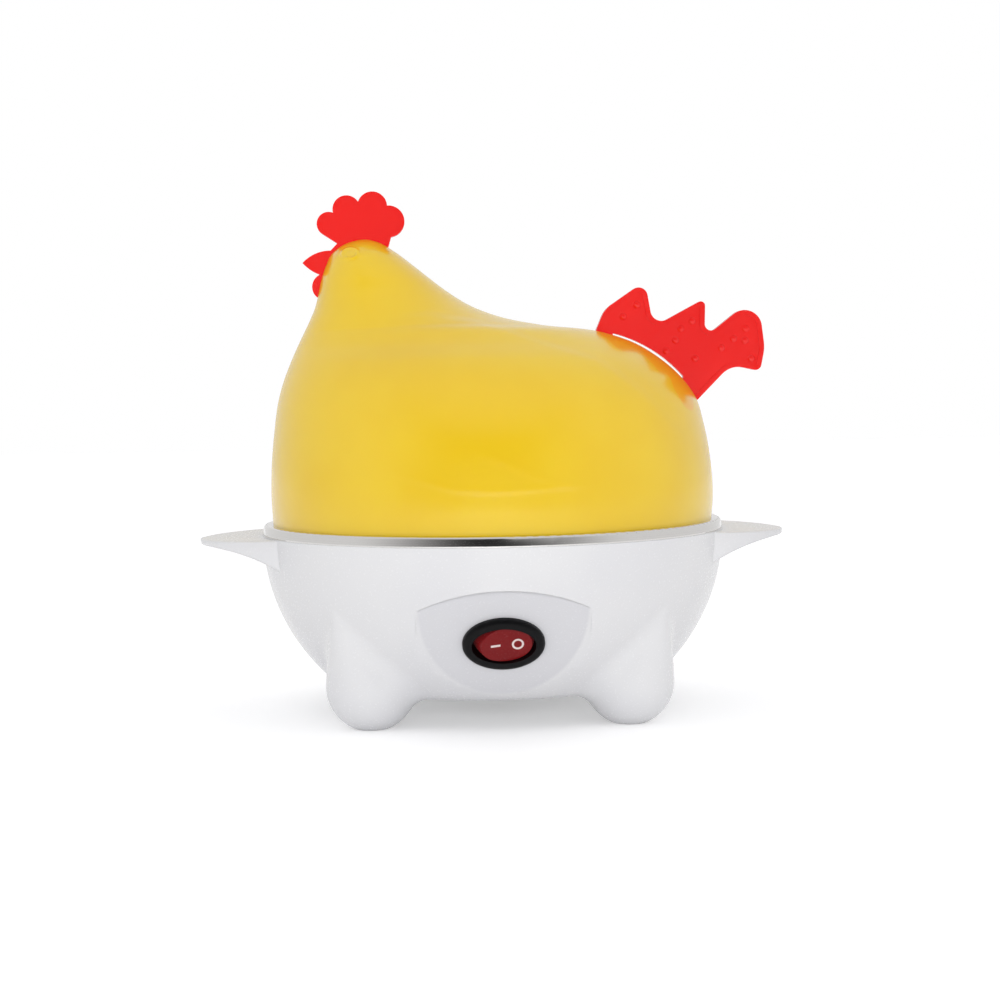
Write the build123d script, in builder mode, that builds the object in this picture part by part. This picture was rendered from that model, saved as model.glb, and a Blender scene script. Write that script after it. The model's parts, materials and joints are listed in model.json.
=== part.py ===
from build123d import *

import os
from math import asin, cos, degrees, radians, sin, sqrt, tan

os.makedirs("parts", exist_ok=True)

# A hen-shaped electric egg boiler, in millimetres. The origin is on the table under the middle of
# the base, +Z is up, the hen looks towards -X and the switch faces -Y.

# Fits shared by several pieces
loose_fit = 0.3
close_fit = 0.1

# White base: a bowl whose side is one arc, upright at the rim
rim_radius = 82.5
rim_height = 63.7
bowl_floor_radius = 57.0
ground_clearance = 10.0
base_wall = 2.6
base_floor = 3.6

# Four feet, each a ball that tapers up into the bowl
foot_count = 4
foot_start_angle = 45.0
foot_outset = 5.0
foot_pitch_radius = bowl_floor_radius + foot_outset
foot_ball_radius = 15.5
foot_ball_height = 14.3
foot_top_height = 41.0
foot_tip_radius = 5.0
foot_blend = 9.0
foot_seam_longest = 140.0

# Two ear handles at the rim
ear_length = 22.3
ear_reach = rim_radius + ear_length
ear_width = 68.0
ear_tip_thickness = 1.9
ear_root_thickness = 14.2
ear_drop = 1.2
ear_tip_undercut = 1.5
ear_rounding = 0.8

# Flat switch panel sunk into the front of the bowl
panel_tilt = 23.8
panel_height = 31.4
panel_recess = 5.5
panel_half_width = 28.6
panel_shoulder = 12.0
panel_crown = 21.3

# Illuminated rocker switch
bezel_width = 27.2
bezel_height = 19.0
bezel_thickness = 2.6
bezel_rounding = 1.6
window_width = 21.2
window_height = 13.0
switch_body_width = 25.0
switch_body_height = 16.8
switch_body_depth = 16.0
switch_well_depth = 12.2
rocker_swing = 16.0
rocker_pivot_depth = 7.1
rocker_end_rise = 5.9
rocker_hollow = 0.8
rocker_wall = 1.4
rocker_depth = 3.0
rocker_pocket_length = 11.0
rocker_pocket_width = 6.0
rocker_pin_radius = 1.2
rocker_pin_length = 0.9
switch_tab_pitch = 10.0
switch_tab_width = 4.8
switch_tab_length = 7.0
tab_thickness = 0.8
lamp_radius = 1.6
lamp_length = 5.0

# Stainless heating dish that caps the base
dish_sheet = 0.8
dish_band_height = 3.5
dish_depth = 17.2
dish_shoulder_width = 0.6
dish_rim_flat_width = 8.6
dish_wall_lean = 2.6
dish_rim_height = rim_height + dish_band_height
dish_floor_height = dish_rim_height - dish_depth
dish_skirt_radius = rim_radius - close_fit
dish_rim_flat_radius = dish_skirt_radius - dish_shoulder_width
dish_mouth_radius = dish_rim_flat_radius - dish_rim_flat_width
dish_floor_radius = dish_mouth_radius - dish_wall_lean
dish_skirt_drop = 3.0
dish_floor_fillet = 5.0
dish_rim_fillet = 1.2

# Heater under the dish
heater_plate_radius = 42.0
heater_plate_thickness = 4.0
heater_ring_radius = 30.0
heater_ring_section = 6.0
heater_gap_angle = 135.0
heater_gap_spread = 24.0
heater_pin_radius = 1.3
heater_pin_length = 9.0

# Stud, nut and bridge bar that pull the dish down on the rim
stud_radius = 2.0
stud_tail = 4.8
stud_flange_radius = 5.0
stud_flange_thickness = 1.5
bridge_height = 28.0
bridge_end = 8.0
bridge_width = 14.0
bridge_thickness = 1.6
bridge_boss_spacing = 92.0
bridge_length = bridge_boss_spacing + 2 * bridge_end
bridge_boss_radius = 5.5
nut_across_flats = 7.0
nut_height = 3.2

# Self-tapping screws
screw_radius = 1.5
screw_head_radius = 2.9
screw_head_height = 1.8
screw_length = 9.0
screw_head_rounding = 0.6
screw_slot_length = 3.2
screw_slot_width = 0.8
screw_slot_depth = 0.9

# Thermostat screwed against the heater plate by its flange
thermostat_x = 10.0
thermostat_y = 15.0
thermostat_radius = 7.5
thermostat_height = 10.0
thermostat_tab_pitch = 8.0
thermostat_tab_width = 4.0
flange_thickness = 0.8
flange_width = 7.0
flange_screw_spacing = 23.0
plate_screw_length = 3.0

# Thermal fuse in its heat-proof sleeve, held by a saddle
fuse_x = 1.0
fuse_y = -16.0
fuse_radius = 1.9
fuse_length = 11.0
sleeve_size = 5.6
sleeve_length = 18.0
saddle_length = 6.0
saddle_foot = 6.6
saddle_thickness = 0.8

# Bottom cover
cover_radius = 42.0
cover_opening_radius = 36.0
cover_thickness = 2.0
cover_boss_radius = 4.0
cover_boss_height = 13.0
cover_screw_pitch = 39.0
cover_screw_count = 3
cover_screw_start = 30.0
vent_width = 3.0
vent_length = 26.0
vent_pitch = 8.0
vent_count = 5

# Gland at the back for a 6 mm supply cord, the clamp and the terminal block inside
cord_radius = 3.0
gland_height = 24.0
gland_boss_radius = 8.5
gland_stand = 1.1
gland_boss_length = 15.6
gland_neck_radius = 5.0
gland_flange_radius = 7.4
gland_flange_thickness = 3.0
gland_flange_rounding = 1.2
gland_collar_radius = 6.2
gland_collar_thickness = 2.0
clamp_gap = 3.0
clamp_width = 28.0
clamp_depth = 8.0
clamp_thickness = 4.0
clamp_screw_spacing = 19.0
block_gap = 1.5
block_width = 20.0
block_depth = 8.0
block_height = 9.0
block_pole_pitch = 9.0
block_bore_radius = 1.6
block_screw_radius = 1.8
block_screw_height = 0.8

# Wires inside the base and the sleeves on their terminals
wire_radius = 1.1
wire_bend = 5.0
wire_dip = 8.0
neutral_run = 13.0
wire_level = 19.0
neutral_level = 15.0
wire_lane = 24.0
receptacle_length = 9.0
receptacle_radius = 2.9
flag_size = 4.4
flag_width = 6.2

# Egg tray
tray_edge_gap = 0.6
tray_thickness = 2.0
tray_leg_length = 10.2
tray_leg_radius = 3.0
tray_leg_inset = 10.0
egg_hole_radius = 17.0
egg_hole_chamfer = 0.9
egg_hole_margin = 6.0
egg_hole_web = 4.0
lug_inset = 3.5
lug_thickness = 3.0
lug_width = 24.0
lug_height = 32.0
lug_hole_radius = 7.0
tray_radius = dish_floor_radius - tray_edge_gap
tray_deck_height = dish_floor_height + dish_sheet + tray_leg_length
tray_leg_pitch = tray_radius - tray_leg_inset
lug_place = tray_radius - lug_inset
egg_pitch_radius = tray_radius - egg_hole_margin - egg_hole_radius
egg_count = int(180 / degrees(asin((egg_hole_radius + egg_hole_web / 2) / egg_pitch_radius)))

# Yellow lid: heights above its seat, with the breast, the back and the half width at each height,
# drawn for a lid of the drawn radius
lid_wall = 1.8
lid_step = 3.1
lid_drawn_radius = 78.7
lid_radius = dish_rim_flat_radius - lid_step
lid_plan = lid_radius / lid_drawn_radius
lid_sections = [
    (0.0, -78.7, 78.7, 78.7),
    (8.4, -79.1, 79.3, 78.9),
    (19.2, -78.9, 78.7, 78.2),
    (33.5, -77.5, 76.3, 75.0),
    (42.4, -76.2, 73.8, 70.5),
    (49.6, -74.3, 69.0, 65.0),
    (56.7, -71.6, 61.4, 56.8),
    (62.3, -69.1, 52.7, 47.0),
    (66.4, -67.1, 41.4, 38.5),
    (69.6, -65.5, 18.5, 33.0),
    (72.7, -64.0, 3.9, 29.8),
    (76.9, -62.2, -6.8, 26.5),
    (82.5, -60.7, -15.6, 23.5),
    (87.5, -59.5, -22.0, 21.0),
    (91.7, -58.0, -27.2, 18.3),
    (96.3, -55.4, -33.2, 14.0),
    (99.6, -50.4, -38.6, 7.6),
    (100.7, -46.6, -41.8, 3.2),
]
lid_lip_gap = 1.0
lid_lip_radius = dish_mouth_radius - lid_lip_gap
lid_lip_wall = 1.3
lid_lip_depth = 3.0
lid_flange_thickness = 1.6
head_middle = -48.2
eye_drop = 5.4
head_height = lid_sections[-1][0] - eye_drop
eye_length = 3.6
eye_height = 3.0
eye_face = 15.8

# Red plates that stand in slots along the lid's middle
comb_thickness = 3.2
tail_thickness = 3.6
tail_root_middle = 60.0
tail_root_depth = 5.4
tail_border_width = 1.8
tail_border_height = 0.5
tail_slit_width = 1.0

bowl_arc_radius = ((rim_radius - bowl_floor_radius) ** 2 + (rim_height - ground_clearance) ** 2) / (
    2 * (rim_radius - bowl_floor_radius)
)
bowl_arc_centre = rim_radius - bowl_arc_radius
floor_top = ground_clearance + base_floor


def bowl_radius_at(height, inset=0.0):
    return bowl_arc_centre + sqrt((bowl_arc_radius - inset) ** 2 - (rim_height - height) ** 2)


# What sits on the bowl's side takes its place from it
panel_depth = bowl_radius_at(panel_height) - panel_recess
gland_face = bowl_radius_at(gland_height + gland_flange_radius) + gland_stand
collar_face = gland_face - gland_boss_length
clamp_place = collar_face - gland_collar_thickness - clamp_gap - clamp_depth / 2
block_place = clamp_place - clamp_depth / 2 - block_gap - block_depth / 2


# The switch panel's plane: its own x is +X, its own y runs up the panel, its z points out of it
panel = Plane(
    origin=(0, -panel_depth, panel_height),
    x_dir=(1, 0, 0),
    z_dir=(0, -cos(radians(panel_tilt)), -sin(radians(panel_tilt))),
)


def panel_point(across, up, inward):
    return panel.from_local_coords((across, up, -inward))


# A foot: ball below, small ball above, and the cone that touches both, as one turned body
def make_foot(inset):
    ball = foot_ball_radius - inset
    tip = foot_tip_radius - inset / 2
    low = Vector(foot_pitch_radius, 0, foot_ball_height)
    high = Vector(bowl_radius_at(foot_top_height) - foot_tip_radius - inset, 0, foot_top_height)
    lean = high - low
    slope = asin((ball - tip) / lean.length)
    side = Plane(origin=low, x_dir=lean, z_dir=(0, -1, 0))
    with BuildPart() as foot:
        with BuildSketch(side):
            with BuildLine():
                ball_end = (ball * sin(slope), ball * cos(slope))
                tip_start = (lean.length + tip * sin(slope), tip * cos(slope))
                tip_middle = (lean.length + tip * cos(slope / 2), tip * sin(slope / 2))
                ThreePointArc((-ball, 0), (-ball * sin(slope), ball * cos(slope)), ball_end)
                Line(ball_end, tip_start)
                ThreePointArc(tip_start, tip_middle, (lean.length + tip, 0))
                Line((lean.length + tip, 0), (-ball, 0))
            make_face()
        revolve(axis=Axis(low, lean))
        split(bisect_by=Plane.XY.offset(inset), keep=Keep.TOP)
    return foot.part


# An ear handle at +X: a thin blade that curves down into the bowl, rounded off to an oval in plan
with BuildPart() as ear:
    root = sqrt(rim_radius**2 - (ear_width / 2) ** 2) - 2 * base_wall
    with BuildSketch(Plane.XZ):
        with BuildLine():
            tip_top = (ear_reach, rim_height - ear_drop)
            tip_low = (ear_reach - ear_tip_undercut, rim_height - ear_drop - ear_tip_thickness)
            web_end = (root, rim_height - ear_root_thickness)
            Polyline(web_end, (root, rim_height), tip_top, tip_low)
            TangentArc(tip_low, web_end, tangent=(-1, 0))
        make_face()
    extrude(amount=ear_width / 2, both=True)
    with BuildSketch(Plane.XY.offset(rim_height)):
        with Locations((root, 0)):
            Ellipse(ear_reach - root, ear_width / 2)
    extrude(amount=-2 * ear_root_thickness, mode=Mode.INTERSECT)
    ear_edges = ear.edges().filter_by(lambda edge: edge.center().X > root + 1)
    fillet(ear_edges, radius=ear_rounding)

# Space inside the base, kept one wall away from the switch panel
with BuildPart() as cavity:
    with BuildSketch(Plane.XZ):
        with BuildLine():
            mouth = (rim_radius - base_wall, rim_height)
            bottom = (bowl_radius_at(floor_top, base_wall), floor_top)
            TangentArc(mouth, bottom, tangent=(0, -1))
            Polyline(bottom, (0, floor_top), (0, rim_height), mouth)
        make_face()
    revolve(axis=Axis.Z)
    with PolarLocations(0, foot_count, start_angle=foot_start_angle):
        add(make_foot(base_wall))
    with BuildSketch(panel.offset(-base_wall)):
        with BuildLine():
            left = (-panel_half_width - base_wall, panel_shoulder + base_wall)
            right = (panel_half_width + base_wall, panel_shoulder + base_wall)
            ThreePointArc(left, (0, panel_crown + base_wall), right)
            Polyline(right, (right[0], -bezel_width), (left[0], -bezel_width), left)
        make_face()
    extrude(amount=rim_radius / 2, mode=Mode.SUBTRACT)

# White base: bowl, feet, ears, switch panel, inner bosses and the gland boss
with BuildPart() as base_shell:
    with BuildSketch(Plane.XZ):
        with BuildLine():
            bowl_top = (rim_radius, rim_height)
            bowl_foot = (bowl_floor_radius, ground_clearance)
            TangentArc(bowl_top, bowl_foot, tangent=(0, -1))
            Polyline(bowl_foot, (0, ground_clearance), (0, rim_height), bowl_top)
        make_face()
    revolve(axis=Axis.Z)
    with PolarLocations(0, foot_count, start_angle=foot_start_angle):
        add(make_foot(0))
    foot_seams = base_shell.edges().filter_by(
        lambda edge: ground_clearance - close_fit < edge.center().Z < foot_top_height
        and edge.length < foot_seam_longest
    )
    fillet(foot_seams, radius=foot_blend)
    add(ear.part)
    add(mirror(ear.part, about=Plane.YZ, mode=Mode.PRIVATE))
    with BuildSketch(panel):
        with BuildLine():
            left = (-panel_half_width, panel_shoulder)
            right = (panel_half_width, panel_shoulder)
            ThreePointArc(left, (0, panel_crown), right)
            Polyline(right, (panel_half_width, -bezel_width), (-panel_half_width, -bezel_width), left)
        make_face()
    extrude(amount=rim_radius / 2, mode=Mode.SUBTRACT)
    add(cavity.part, mode=Mode.SUBTRACT)
    with BuildSketch(Plane.XZ.offset(-gland_face)):
        with Locations((0, gland_height)):
            Circle(gland_boss_radius)
    extrude(amount=gland_boss_length)
    with BuildSketch(Plane.XZ.offset(-gland_face)):
        with Locations((0, gland_height)):
            Circle(gland_neck_radius + close_fit)
    extrude(amount=gland_boss_length + base_wall, mode=Mode.SUBTRACT)
    with BuildSketch(Plane.XY.offset(ground_clearance)):
        Circle(cover_radius + loose_fit)
    extrude(amount=cover_thickness, mode=Mode.SUBTRACT)
    with BuildSketch(Plane.XY.offset(ground_clearance)):
        Circle(cover_opening_radius)
    extrude(amount=base_floor, mode=Mode.SUBTRACT)
    with BuildSketch(Plane.XY.offset(ground_clearance + cover_thickness)):
        with PolarLocations(cover_screw_pitch, cover_screw_count, start_angle=cover_screw_start):
            Circle(cover_boss_radius)
    extrude(amount=cover_boss_height)
    with BuildSketch(Plane.XY.offset(ground_clearance + cover_thickness)):
        with PolarLocations(cover_screw_pitch, cover_screw_count, start_angle=cover_screw_start):
            Circle(screw_radius)
    extrude(amount=screw_length, mode=Mode.SUBTRACT)
    with BuildSketch(Plane.XY.offset(floor_top)):
        with GridLocations(bridge_boss_spacing, 0, 2, 1):
            Circle(bridge_boss_radius)
    extrude(amount=bridge_height - floor_top)
    with BuildSketch(Plane.XY.offset(bridge_height)):
        with GridLocations(bridge_boss_spacing, 0, 2, 1):
            Circle(screw_radius)
    extrude(amount=-screw_length, mode=Mode.SUBTRACT)
    with BuildSketch(Plane.XY.offset(floor_top)):
        with Locations((0, clamp_place)):
            Rectangle(clamp_width, clamp_depth)
    extrude(amount=gland_height - floor_top)
    with BuildSketch(Plane.XZ.offset(-gland_face)):
        with Locations((0, gland_height)):
            Circle(cord_radius + close_fit)
    extrude(amount=gland_face - clamp_place + clamp_depth, mode=Mode.SUBTRACT)
    with BuildSketch(Plane.XY.offset(gland_height)):
        with Locations((0, clamp_place)):
            with GridLocations(clamp_screw_spacing, 0, 2, 1):
                Circle(screw_radius)
    extrude(amount=-screw_length, mode=Mode.SUBTRACT)
    with BuildSketch(panel):
        Ellipse(switch_body_width / 2 + close_fit, switch_body_height / 2 + close_fit)
    extrude(amount=-2 * base_wall, mode=Mode.SUBTRACT)
base_shell.part.label = "base_shell"
export_step(base_shell.part, "parts/base_shell.step")

# Bottom cover, flush in its rebate, with vent slots and countersunk screws
with BuildPart() as base_cover:
    with BuildSketch(Plane.XY.offset(ground_clearance)):
        Circle(cover_radius)
        with GridLocations(0, vent_pitch, 1, vent_count):
            SlotOverall(vent_length, vent_width, mode=Mode.SUBTRACT)
    extrude(amount=cover_thickness)
    with Locations(Plane.XY.offset(ground_clearance)):
        with PolarLocations(cover_screw_pitch, cover_screw_count, start_angle=cover_screw_start):
            Cylinder(
                screw_radius + loose_fit,
                cover_thickness,
                align=(Align.CENTER, Align.CENTER, Align.MIN),
                mode=Mode.SUBTRACT,
            )
base_cover.part.label = "base_cover"
export_step(base_cover.part, "parts/base_cover.step")


# A pan-head screw, head on the plane, shank going the other way
def make_screw(plane, length):
    with BuildPart() as screw:
        with BuildSketch(plane):
            Circle(screw_head_radius)
        extrude(amount=screw_head_height)
        fillet(screw.faces().sort_by(Axis(plane.origin, plane.z_dir))[-1].edges(), screw_head_rounding)
        with BuildSketch(plane):
            Circle(screw_radius)
        extrude(amount=-length)
        with BuildSketch(plane.offset(screw_head_height)):
            Rectangle(screw_slot_length, screw_slot_width)
            Rectangle(screw_slot_width, screw_slot_length)
        extrude(amount=-screw_slot_depth, mode=Mode.SUBTRACT)
    return screw


# Stainless heating dish: floor, wall, flat rim and a short skirt over the bowl's edge
with BuildPart() as heating_dish:
    with BuildSketch(Plane.XZ):
        with BuildLine():
            dish_top = dish_floor_height + dish_sheet
            FilletPolyline(
                (0, dish_top),
                (dish_floor_radius, dish_top),
                (dish_mouth_radius, dish_rim_height),
                (dish_rim_flat_radius, dish_rim_height),
                (dish_skirt_radius, dish_rim_height - dish_skirt_drop),
                (dish_skirt_radius, rim_height),
                radius=[dish_floor_fillet, dish_rim_fillet, dish_rim_fillet, dish_rim_fillet],
            )
            offset(amount=dish_sheet, side=Side.RIGHT)
        make_face()
    revolve(axis=Axis.Z)
heating_dish.part.label = "heating_dish"
export_step(heating_dish.part, "parts/heating_dish.step")


# Heater plate with tapped holes for the stud, the thermostat and the fuse saddle
plate_bottom = dish_floor_height - heater_plate_thickness
stud_length = plate_bottom - bridge_height + nut_height + stud_tail
flange_plane = Plane(
    origin=(thermostat_x, thermostat_y, plate_bottom),
    x_dir=(-thermostat_y, thermostat_x, 0),
    z_dir=(0, 0, -1),
)
saddle_screw_offset = sleeve_size / 2 + saddle_thickness + saddle_foot / 2
plate_screw_places = [
    flange_plane.from_local_coords((-flange_screw_spacing / 2, 0, flange_thickness)),
    flange_plane.from_local_coords((flange_screw_spacing / 2, 0, flange_thickness)),
    Vector(fuse_x, fuse_y - saddle_screw_offset, plate_bottom - saddle_thickness),
    Vector(fuse_x, fuse_y + saddle_screw_offset, plate_bottom - saddle_thickness),
]
with BuildPart() as heater_plate:
    with BuildSketch(Plane.XY.offset(plate_bottom)):
        Circle(heater_plate_radius)
    extrude(amount=heater_plate_thickness)
    with BuildSketch(Plane.XY.offset(plate_bottom)):
        with Locations(*[(place.X, place.Y) for place in plate_screw_places]):
            Circle(screw_radius)
    extrude(amount=plate_screw_length, mode=Mode.SUBTRACT)
heater_plate.part.label = "heater_plate"
export_step(heater_plate.part, "parts/heater_plate.step")

# Tubular heating element: an open ring under the plate, flat where it is brazed on
ring_start = radians(heater_gap_angle + heater_gap_spread / 2)
ring_bottom = plate_bottom - heater_ring_section
with BuildPart() as heater_ring:
    with BuildSketch(
        Plane(
            origin=(0, 0, 0),
            x_dir=(cos(ring_start), sin(ring_start), 0),
            z_dir=(sin(ring_start), -cos(ring_start), 0),
        )
    ):
        with Locations((heater_ring_radius, plate_bottom - heater_ring_section / 2)):
            section = Rectangle(heater_ring_section, heater_ring_section)
        fillet(section.vertices().group_by(Axis.Z)[0], radius=heater_ring_section / 3)
    revolve(axis=Axis.Z, revolution_arc=360 - heater_gap_spread)
heater_ring.part.label = "heater_ring"
export_step(heater_ring.part, "parts/heater_ring.step")

# Cold pins of the element, near its two ends
pin_angle_step = heater_gap_spread / 2 + degrees(2 * heater_pin_radius / heater_ring_radius)
pin_places = []
for number, turn in enumerate((pin_angle_step, -pin_angle_step), start=1):
    angle = radians(heater_gap_angle + turn)
    pin_places.append((heater_ring_radius * cos(angle), heater_ring_radius * sin(angle)))
    with BuildPart() as heater_pin:
        with BuildSketch(Plane.XY.offset(ring_bottom)):
            with Locations(pin_places[-1]):
                Circle(heater_pin_radius)
        extrude(amount=-heater_pin_length)
    heater_pin.part.label = f"heater_pin_{number}"
    export_step(heater_pin.part, f"parts/heater_pin_{number}.step")

# Stud under the plate, the bridge bar across two bosses, and the nut that draws them together
with BuildPart() as centre_stud:
    with BuildSketch(Plane.XY.offset(plate_bottom)):
        Circle(stud_flange_radius)
    extrude(amount=-stud_flange_thickness)
    with BuildSketch(Plane.XY.offset(plate_bottom)):
        Circle(stud_radius)
    extrude(amount=-stud_length)
    chamfer(centre_stud.faces().sort_by(Axis.Z)[0].edges(), length=stud_radius / 4)
centre_stud.part.label = "centre_stud"
export_step(centre_stud.part, "parts/centre_stud.step")

with BuildPart() as bridge_bar:
    with BuildSketch(Plane.XY.offset(bridge_height)):
        SlotOverall(bridge_length, bridge_width)
        Circle(stud_radius + close_fit, mode=Mode.SUBTRACT)
        with GridLocations(bridge_boss_spacing, 0, 2, 1):
            Circle(screw_radius + close_fit, mode=Mode.SUBTRACT)
    extrude(amount=bridge_thickness)
bridge_bar.part.label = "bridge_bar"
export_step(bridge_bar.part, "parts/bridge_bar.step")

with BuildPart() as centre_nut:
    with BuildSketch(Plane.XY.offset(bridge_height)):
        RegularPolygon(nut_across_flats / 2, 6, major_radius=False)
        Circle(stud_radius, mode=Mode.SUBTRACT)
    extrude(amount=-nut_height)
centre_nut.part.label = "centre_nut"
export_step(centre_nut.part, "parts/centre_nut.step")

for number, side in enumerate((-1, 1), start=1):
    bridge_seat = Plane.XY.move(
        Location((side * bridge_boss_spacing / 2, 0, bridge_height + bridge_thickness))
    )
    bridge_screw = make_screw(bridge_seat, screw_length)
    bridge_screw.part.label = f"bridge_screw_{number}"
    export_step(bridge_screw.part, f"parts/bridge_screw_{number}.step")

for number in range(cover_screw_count):
    angle = radians(cover_screw_start + number * 360 / cover_screw_count)
    cover_seat = Plane(
        origin=(cover_screw_pitch * cos(angle), cover_screw_pitch * sin(angle), ground_clearance),
        x_dir=(1, 0, 0),
        z_dir=(0, 0, -1),
    )
    cover_screw = make_screw(cover_seat, screw_length)
    cover_screw.part.label = f"cover_screw_{number + 1}"
    export_step(cover_screw.part, f"parts/cover_screw_{number + 1}.step")

# Thermostat: round body, screwed flange and two tabs
with BuildPart() as thermostat:
    with BuildSketch(flange_plane):
        Circle(thermostat_radius)
    extrude(amount=thermostat_height)
    with BuildSketch(flange_plane):
        SlotCenterToCenter(flange_screw_spacing, flange_width)
        with GridLocations(flange_screw_spacing, 0, 2, 1):
            Circle(screw_radius + close_fit, mode=Mode.SUBTRACT)
    extrude(amount=flange_thickness)
    with BuildSketch(Plane.XY.offset(plate_bottom - thermostat_height)):
        with Locations((thermostat_x, thermostat_y)):
            with GridLocations(thermostat_tab_pitch, 0, 2, 1):
                Rectangle(thermostat_tab_width, tab_thickness)
    extrude(amount=-switch_tab_length)
thermostat.part.label = "thermostat"
export_step(thermostat.part, "parts/thermostat.step")

# Thermal fuse, its sleeve and the saddle that holds the sleeve to the plate
sleeve_axis_height = plate_bottom - sleeve_size / 2
fuse_plane = Plane.YZ.offset(fuse_x)
with BuildPart() as thermal_fuse:
    with BuildSketch(fuse_plane):
        with Locations((fuse_y, sleeve_axis_height)):
            Circle(fuse_radius)
    extrude(amount=fuse_length / 2, both=True)
thermal_fuse.part.label = "thermal_fuse"
export_step(thermal_fuse.part, "parts/thermal_fuse.step")

with BuildPart() as fuse_sleeve:
    with BuildSketch(fuse_plane):
        with Locations((fuse_y, sleeve_axis_height)):
            RectangleRounded(sleeve_size, sleeve_size, sleeve_size / 5)
            Circle(fuse_radius, mode=Mode.SUBTRACT)
    extrude(amount=sleeve_length / 2, both=True)
fuse_sleeve.part.label = "fuse_sleeve"
export_step(fuse_sleeve.part, "parts/fuse_sleeve.step")

with BuildPart() as fuse_saddle:
    with BuildSketch(fuse_plane):
        with Locations((fuse_y, plate_bottom)):
            Rectangle(
                sleeve_size + 2 * saddle_thickness,
                sleeve_size + saddle_thickness,
                align=(Align.CENTER, Align.MAX),
            )
            Rectangle(
                sleeve_size + 2 * (saddle_thickness + saddle_foot),
                saddle_thickness,
                align=(Align.CENTER, Align.MAX),
            )
            Rectangle(sleeve_size, sleeve_size, align=(Align.CENTER, Align.MAX), mode=Mode.SUBTRACT)
    extrude(amount=saddle_length / 2, both=True)
    with BuildSketch(Plane.XY.offset(plate_bottom)):
        with Locations(*[(place.X, place.Y) for place in plate_screw_places[2:]]):
            Circle(screw_radius + close_fit)
    extrude(amount=-saddle_thickness, mode=Mode.SUBTRACT)
fuse_saddle.part.label = "fuse_saddle"
export_step(fuse_saddle.part, "parts/fuse_saddle.step")

for number, place in enumerate(plate_screw_places, start=1):
    plate_seat = Plane(origin=place, x_dir=(1, 0, 0), z_dir=(0, 0, -1))
    plate_screw = make_screw(plate_seat, plate_screw_length)
    plate_screw.part.label = f"plate_screw_{number}"
    export_step(plate_screw.part, f"parts/plate_screw_{number}.step")

# Switch housing: oval bezel on the panel, body through it, well for the rocker
rocker_pivot = bezel_thickness - rocker_pivot_depth
pivot_point = panel.from_local_coords((0, 0, rocker_pivot))
with BuildPart() as switch_housing:
    with BuildSketch(panel):
        Ellipse(bezel_width / 2, bezel_height / 2)
    extrude(amount=bezel_thickness)
    fillet(switch_housing.faces().sort_by(Axis(panel.origin, panel.z_dir))[-1].edges(), bezel_rounding)
    with BuildSketch(panel):
        Ellipse(switch_body_width / 2, switch_body_height / 2)
    extrude(amount=-switch_body_depth)
    with BuildSketch(panel.offset(bezel_thickness)):
        Ellipse(window_width / 2, window_height / 2)
    extrude(amount=-switch_well_depth, mode=Mode.SUBTRACT)
    with BuildSketch(Plane(origin=pivot_point, z_dir=panel.y_dir)):
        Circle(rocker_pin_radius + close_fit)
    extrude(amount=window_height / 2 + rocker_pin_length, both=True, mode=Mode.SUBTRACT)
switch_housing.part.label = "switch_housing"
export_step(switch_housing.part, "parts/switch_housing.step")

# Rocker at rest in the off place, its +X end pressed in: an oval turned about its pivot, so that it
# clears the window at every angle, with a hollow top face and a pocket for the lamp
rest_tilt = radians(rocker_swing / 2)
rocker_reach = window_width / 2 - loose_fit
rocker_half_height = window_height / 2 - loose_fit
rocker_side = Plane(
    origin=pivot_point,
    x_dir=panel.x_dir * cos(rest_tilt) - panel.z_dir * sin(rest_tilt),
    z_dir=-panel.y_dir,
)
with BuildPart() as rocker:
    with BuildSketch(Plane(origin=pivot_point, x_dir=panel.y_dir, z_dir=panel.z_dir)):
        with BuildLine():
            EllipticalCenterArc((0, 0), rocker_half_height, rocker_reach, arc_size=180)
            Line((-rocker_half_height, 0), (rocker_half_height, 0))
        make_face()
    revolve(axis=Axis(pivot_point, panel.y_dir))
    with BuildSketch(rocker_side):
        with BuildLine():
            end_x = sqrt(rocker_reach**2 - rocker_end_rise**2)
            face_radius = (end_x**2 + rocker_hollow**2) / (2 * rocker_hollow)
            face_low = rocker_end_rise - rocker_hollow
            face_side = face_low + face_radius - sqrt(face_radius**2 - rocker_reach**2)
            ThreePointArc((-rocker_reach, face_side), (0, face_low), (rocker_reach, face_side))
            Polyline(
                (rocker_reach, face_side),
                (rocker_reach, -rocker_depth),
                (-rocker_reach, -rocker_depth),
                (-rocker_reach, face_side),
            )
        make_face()
    extrude(amount=rocker_half_height, both=True, mode=Mode.INTERSECT)
    with BuildSketch(rocker_side):
        with Locations((0, -rocker_depth)):
            Rectangle(
                rocker_pocket_length,
                rocker_depth + face_low - rocker_wall,
                align=(Align.CENTER, Align.MIN),
            )
    extrude(amount=rocker_pocket_width / 2, both=True, mode=Mode.SUBTRACT)
    for side in (-1, 1):
        with BuildSketch(rocker_side.offset(side * (rocker_half_height - rocker_wall))):
            Circle(rocker_pin_radius)
        extrude(amount=side * (rocker_wall + rocker_pin_length))
rocker.part.label = "rocker"
export_step(rocker.part, "parts/rocker.step")

# Neon lamp standing on the floor of the well, inside the hollow rocker
with BuildPart() as neon_lamp:
    with BuildSketch(panel.offset(bezel_thickness - switch_well_depth)):
        Circle(lamp_radius)
    extrude(amount=lamp_length)
    fillet(neon_lamp.faces().sort_by(Axis(panel.origin, panel.z_dir))[-1].edges(), lamp_radius / 2)
neon_lamp.part.label = "neon_lamp"
export_step(neon_lamp.part, "parts/neon_lamp.step")

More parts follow.
